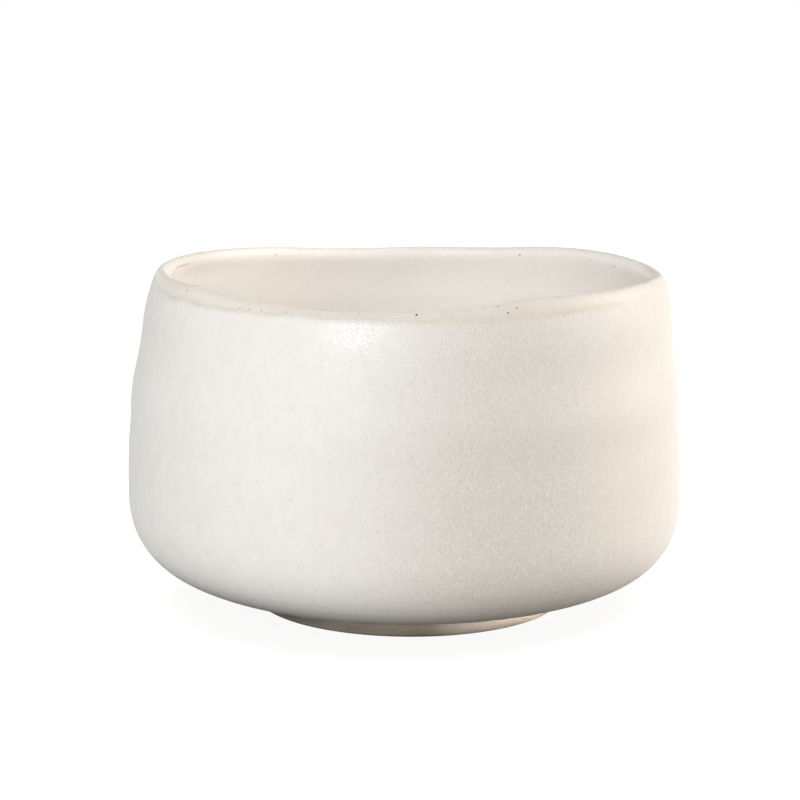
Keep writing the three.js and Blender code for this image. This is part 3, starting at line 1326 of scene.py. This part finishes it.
@dataclass(frozen=True)
class ThrownBody:
    """The thrown clay under the glaze, bare in the foot's recess and round its margin."""

    form: ThrownForm
    turns: int = 180
    under_rows: int = 60
    heel_rows: int = 40
    wall_rows: int = 30
    lip_rows: int = 8
    bottom_rows: int = 30
    score_pitch: float = 2.3 * MM
    score_depth: float = 0.05 * MM
    score_start: float = 4.0 * MM
    score_ends: Band = (0.62, 0.74)
    nub_height: float = 0.8 * MM
    nub_spread: float = 4.0 * MM

    def build(self) -> bpy.types.Object:
        """Turns the whole section from the middle of the underside round to the middle of the floor.

        The underside carries a trimming spiral, a cosine of radius plus angle, and a small nub on the axis.

        Returns:
            The closed body.
        """
        form = self.form
        angle = directions(self.turns)
        under_radius = form.glaze_edge * column(self.under_rows)
        spiral = np.cos(TAU * under_radius / self.score_pitch + angle)
        faded = ease(*self.score_ends, under_radius / form.foot_side)
        recess = ease(0.0, self.score_start, under_radius) * (1.0 - faded)
        nub = self.nub_height * bell(under_radius, self.nub_spread)
        under_height = form.seat_height + self.score_depth * (spiral - 1.0) * recess - nub
        wall_height = blend(form.belly_height, form.lip_start, column(self.wall_rows))
        axis = np.zeros((2, 1))
        runs = [
            (under_radius, under_height),
            form.heel(self.heel_rows),
            (form.wall(wall_height), wall_height),
            form.lip_outside(0.0, self.lip_rows),
            form.lip_inside(self.lip_rows),
            form.down_inside(self.wall_rows),
            form.bottom(self.bottom_rows),
            (axis, axis + form.floor_height),
        ]
        radius, height = end_to_end(runs, angle)
        return skin("thrown_clay_body", form.settle(radius, height, angle), False, {})

    def dress(self, piece: bpy.types.Object) -> None:
        """Gives the body its bare clay finish."""
        clay = BareClay("buff_body_clay", paint(205, 192, 170), paint(182, 165, 141), paint(120, 100, 80))
        fasten(piece, "clay_body", clay.material())


@dataclass(frozen=True)
class TurnedFoot:
    """The bare foot ring, with soft edges and the turning tool's lines."""

    form: ThrownForm
    turns: int = 360
    rows: int = 150
    bevel: float = 0.6 * MM
    face_width: float = 5.5 * MM
    root_width: float = 8.0 * MM
    rounding_rows: int = 5
    score_pitch: float = 1.15 * MM
    score_depth: float = 0.035 * MM
    score_levels: Band = (0.2 * MM, 0.8 * MM)
    score_fade: float = 0.6 * MM
    waver: HandWaver = HandWaver(seed=31, terms=16, most_per_turn=6, pitch=8.0 * MM)
    uneven: float = 0.05 * MM

    def build(self) -> bpy.types.Object:
        """Runs evenly round the ring's polygon, softens its corners by a running mean and scores its sides.

        The scores are a cosine of the height plus the angle, so they climb round the ring.

        Returns:
            The closed ring.
        """
        form = self.form
        _, foot_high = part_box("foot_ring")
        side, top = form.foot_side, foot_high.z
        face = side - self.bevel
        corner_radius = np.array([face, side, side, side - self.root_width, face - self.face_width, face])
        corner_height = np.array([0.0, self.bevel, top, top, 0.0, 0.0])
        reached = run_length(corner_radius[:, None], corner_height[:, None])[:, 0]
        along = np.linspace(0.0, reached[-1], self.rows, endpoint=False)
        radius = np.interp(along, reached, corner_radius)
        height = np.interp(along, reached, corner_height)
        shifts = range(-self.rounding_rows // 2 + 1, self.rounding_rows // 2 + 1)
        radius = np.mean([np.roll(radius, shift) for shift in shifts], axis=0)[:, None]
        height = np.mean([np.roll(height, shift) for shift in shifts], axis=0)[:, None]
        angle = directions(self.turns)
        waver = self.waver.over(angle, height)
        scored = ease(*self.score_levels, height) * (1.0 - ease(top - self.score_fade, top, height))
        lines = np.cos(TAU * height / self.score_pitch + angle + waver)
        hand = scored * (self.score_depth * (lines - 1.0) + self.uneven * (waver - 1.0))
        level = np.ones_like(angle)
        moved = offset(radius * level, height * level, hand)
        return skin("turned_foot_ring", form.settle(moved[0], moved[1], angle), True, {})

    def dress(self, piece: bpy.types.Object) -> None:
        """Gives the ring its bare clay finish."""
        clay = BareClay("buff_foot_clay", paint(203, 193, 180), paint(180, 165, 145), paint(112, 96, 80))
        fasten(piece, "foot_ring", clay.material())


@dataclass(frozen=True)
class SlipBed:
    """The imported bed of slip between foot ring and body, which keeps its shape."""

    node: str = "foot_slip"

    def dress(self) -> None:
        """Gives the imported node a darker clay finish."""
        clay = BareClay("dried_slip", paint(190, 175, 152), paint(168, 150, 126), paint(110, 92, 74))
        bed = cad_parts[self.node]
        bed.data.materials.clear()
        bed.data.materials.append(clay.material())
        log.info("%s: packed shape kept", self.node)


@dataclass(frozen=True)
class Softbox:
    """A soft lamp that faces the bowl. Azimuth 0 is the camera's side, and +90 is to its right."""

    name: str
    azimuth: float
    elevation: float
    distance: float
    width: float
    height: float
    watts: float
    colour: tuple[float, float, float]
    target: tuple[float, float, float] = (0.0, 0.0, 36.0 * MM)
    spread: float = 180.0

    def light(self) -> None:
        """Hangs the lamp at its angles and turns it to the bowl."""
        lamp = bpy.data.lights.new(self.name, "AREA")
        lamp.shape = "RECTANGLE"
        lamp.size = self.width
        lamp.size_y = self.height
        lamp.energy = self.watts
        lamp.color = self.colour
        lamp.spread = math.radians(self.spread)
        hung = bpy.data.objects.new(self.name, lamp)
        around, above = math.radians(self.azimuth), math.radians(self.elevation)
        flat = self.distance * math.cos(above)
        away = Vector((flat * math.sin(around), -flat * math.cos(around), self.distance * math.sin(above)))
        hung.location = Vector(self.target) + away
        hung.rotation_euler = away.to_track_quat("Z", "Y").to_euler()
        hung.visible_camera = False
        bpy.context.scene.collection.objects.link(hung)


@dataclass(frozen=True)
class Studio:
    """Camera, lamps, pale floor and white surroundings."""

    distance: float = 0.5
    pitch: float = 10.55
    roll: float = 0.29
    aim_height: float = 43.725 * MM
    aside: float = -0.938 * MM
    lens: float = 103.37
    sensor: float = 36.0
    near_clip: float = 0.01
    floor_radius: float = 0.7
    floor_turns: int = 96
    floor_rings: int = 12
    floor_glow: float = 0.93
    shade_radius: float = 45.0 * MM
    shade_end: float = 71.0 * MM
    floor_colour: Colour = paint(198, 198, 196)
    shade_colour: Colour = paint(72, 68, 62)
    ambient: float = 0.02
    ambient_colour: Colour = (0.98, 0.99, 1.0, 1.0)
    lamps: Sequence[Softbox] = (
        Softbox("key_softbox", -25.0, 27.0, 1.0, 0.32, 0.32, 5.9, (1.0, 0.992, 0.987)),
        Softbox("left_fill", -48.0, 14.0, 1.0, 1.00, 0.70, 2.22, (0.932, 0.963, 1.0)),
        Softbox("front_fill", -5.0, 22.0, 1.0, 0.90, 0.50, 0.9, (1.0, 0.92, 0.86)),
        Softbox("back_fill", -165.0, 50.0, 1.0, 0.60, 0.60, 1.2, (1.0, 0.99, 0.97)),
        Softbox("warm_softbox", 100.0, 22.0, 1.0, 0.80, 0.60, 10.1, (1.0, 0.936, 0.885)),
        Softbox("low_warm_strip", 108.0, 2.5, 1.0, 0.50, 0.10, 1.4, (1.0, 0.83, 0.71)),
        Softbox("foot_strip", 97.0, 0.0, 0.085, 0.074, 0.003, 0.0012, (1.0, 0.96, 0.92), FOOT_MIDDLE, 5.0),
        Softbox("foot_fill", 30.0, 0.0, 0.085, 0.074, 0.003, 0.00022, (1.0, 0.98, 0.94), FOOT_MIDDLE, 5.0),
    )

    def set_camera(self) -> None:
        """Puts the camera on its pitch line through the aim point and rolls it a little about that line."""
        view = bpy.data.cameras.new("photo_camera")
        view.sensor_width = self.sensor
        view.lens = self.lens
        view.clip_start = self.near_clip
        camera = bpy.data.objects.new("photo_camera", view)
        down = math.radians(self.pitch)
        back, rise = self.distance * math.cos(down), self.distance * math.sin(down)
        camera.location = (self.aside, -back, self.aim_height + rise)
        turn = Euler((math.pi / 2.0 - down, 0.0, 0.0))
        turn.rotate_axis("Z", math.radians(self.roll))
        camera.rotation_euler = turn
        bpy.context.scene.collection.objects.link(camera)
        bpy.context.scene.camera = camera

    def seen(self, graph: Graph, reflected: Operand = 1.0) -> Signal:
        """Shows the background to rays from the camera, off gloss and through glass.

        Args:
            graph: Node tree to add to.
            reflected: Share of the background that gloss shows.

        Returns:
            1 for the camera's rays and those through glass, the share for those off gloss, and 0 for the
            rest.
        """
        kinds = ("Is Camera Ray", "Is Glossy Ray", "Is Transmission Ray")
        straight, glossy, through = [graph.node("ShaderNodeLightPath", {}, {}, kind) for kind in kinds]
        return straight.most(glossy * reflected).most(through)

    def lay_floor(self) -> None:
        """Lays a flat disc of rings under the bowl, which shows white and keeps the bowl's soft shadow; a
        painted shadow darkens it under and near the bowl.
        """
        angle = directions(self.floor_turns)
        radius = self.floor_radius * column(self.floor_rings) ** 2 * np.ones_like(angle)
        points = np.stack([radius * np.cos(angle), radius * np.sin(angle), np.zeros_like(radius)], axis=-1)
        floor = skin("studio_floor", points, False, {})
        made, graph = empty_material("pale_floor")
        away = graph.node("ShaderNodeVectorMath", {"operation": "LENGTH"}, {0: graph.place()}, "Value")
        # Painted shadow: under and near the bowl the floor takes a dark colour and shows less glow to gloss.
        open_floor = away.rising(self.shade_radius, self.shade_end)
        colour = graph.mix(open_floor, self.shade_colour, self.floor_colour)
        matt = graph.node("ShaderNodeBsdfDiffuse", {}, {"Color": colour})
        strength = self.floor_glow * self.seen(graph, open_floor)
        glow = graph.node("ShaderNodeEmission", {}, {"Strength": strength})
        both = graph.node("ShaderNodeAddShader", {}, {0: matt, 1: glow})
        graph.add("ShaderNodeOutputMaterial", {}, {"Surface": both})
        floor.data.materials.append(made)

    def set_world(self) -> None:
        """Surrounds the bowl with white that lights it only softly."""
        world = bpy.data.worlds.new("white_studio")
        world.use_nodes = True
        graph = Graph(world.node_tree)
        seen = self.seen(graph)
        colour = graph.mix(seen, self.ambient_colour, WHITE)
        strength = self.ambient + (1.0 - self.ambient) * seen
        sky = graph.node("ShaderNodeBackground", {}, {"Color": colour, "Strength": strength})
        graph.add("ShaderNodeOutputWorld", {}, {"Surface": sky})
        bpy.context.scene.world = world

    def set_up(self) -> None:
        """Sets camera, floor, surroundings, lamps and plain colour management."""
        self.set_camera()
        self.lay_floor()
        self.set_world()
        for lamp in self.lamps:
            lamp.light()
        bpy.context.scene.view_settings.view_transform = "Standard"


def main() -> None:
    """Builds the studio and every piece in order."""
    logging.basicConfig(level=logging.INFO, format="%(name)s %(message)s")
    Studio().set_up()
    form = ThrownForm.from_frame()
    for part in (ThrownBody(form), TurnedFoot(form), CreamCoat(form), WhiteCoat(form)):
        part.dress(part.build())
    SlipBed().dress()


if __name__ == "__main__":
    main()
